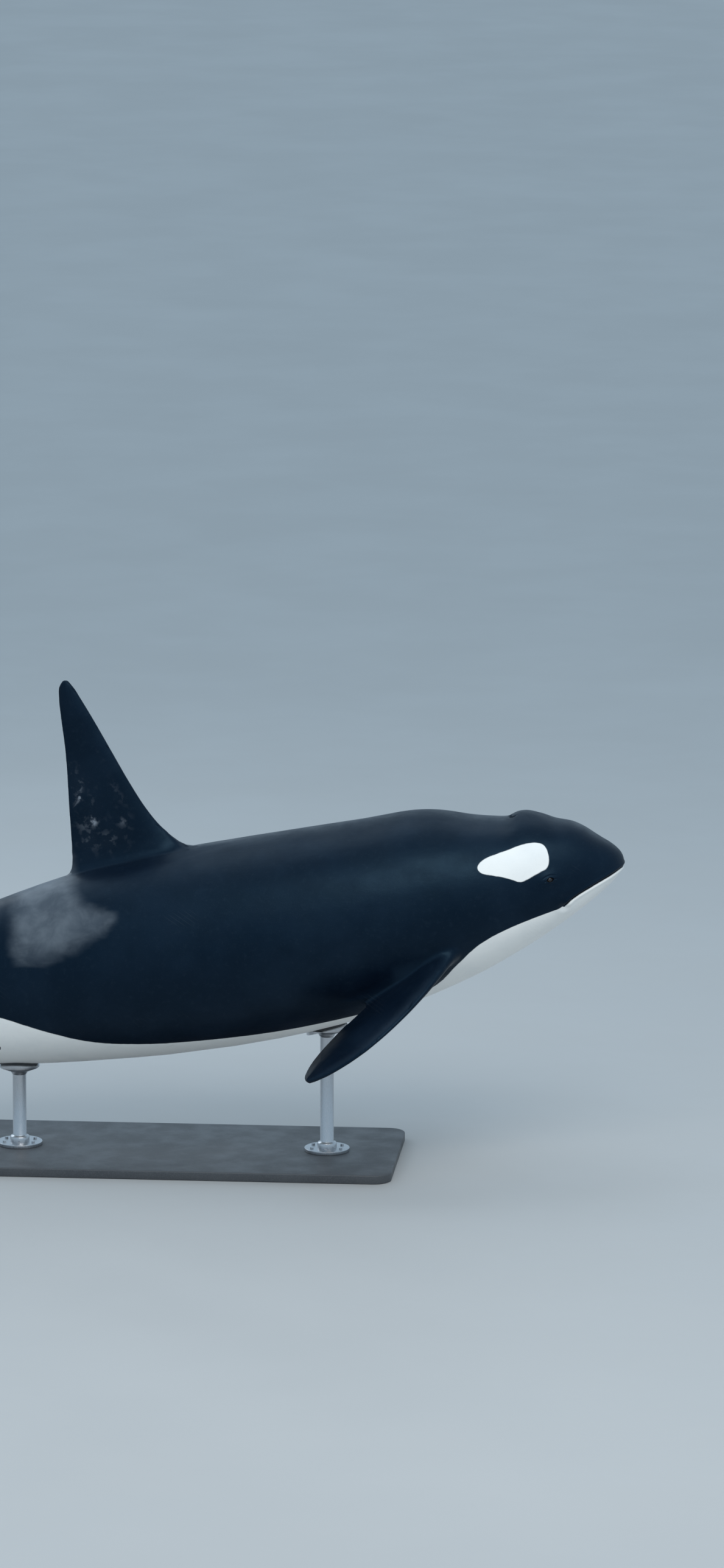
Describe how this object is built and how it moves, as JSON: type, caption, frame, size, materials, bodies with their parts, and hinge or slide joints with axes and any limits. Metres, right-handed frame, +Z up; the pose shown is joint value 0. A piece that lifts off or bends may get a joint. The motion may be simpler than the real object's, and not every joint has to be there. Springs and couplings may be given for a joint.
{
  "type": "life-size orca model",
  "caption": "Life-size model of a young male orca with head raised as it surfaces, tall fin, paddle flippers and level flukes, held on rods over a flat base.",
  "frame": {"origin": "on the floor under the middle of the whole, at the underside of the stand's base", "axes": "+X towards the head, +Y to the animal's left, +Z up"},
  "size_m": [6.6974, 2.1342, 3.2139],
  "materials": {
    "skin_black": "smooth wet black skin",
    "skin_white": "smooth wet white skin",
    "skin_grey": "smooth wet grey skin",
    "eye_gloss": "polished dark brown eye",
    "plinth": "satin dark grey paint",
    "stand_steel": "brushed"
  },
  "bodies": {
    "root": {"lower_jaw": "skin_white", "throat": "skin_white", "blowhole_plug": "skin_black", "head": "skin_black", "shoulders": "skin_black", "chest": "skin_white", "midbody": "skin_black", "belly": "skin_white", "hindbody": "skin_black", "hindbelly": "skin_white", "tail_stock": "skin_black", "eye_patch_right": "skin_white", "eye_patch_left": "skin_white", "saddle_patch": "skin_grey", "eye_right": "eye_gloss", "eye_left": "eye_gloss", "dorsal_fin": "skin_black", "flipper_right": "skin_black", "flipper_left": "skin_black", "fluke_right": "skin_black", "fluke_left": "skin_black", "stand_base": "plinth", "stand_flange_front": "stand_steel", "stand_rod_front": "stand_steel", "stand_pad_front": "stand_steel", "stand_flange_rear": "stand_steel", "stand_rod_rear": "stand_steel", "stand_pad_rear": "stand_steel"}
  },
  "joints": []
}
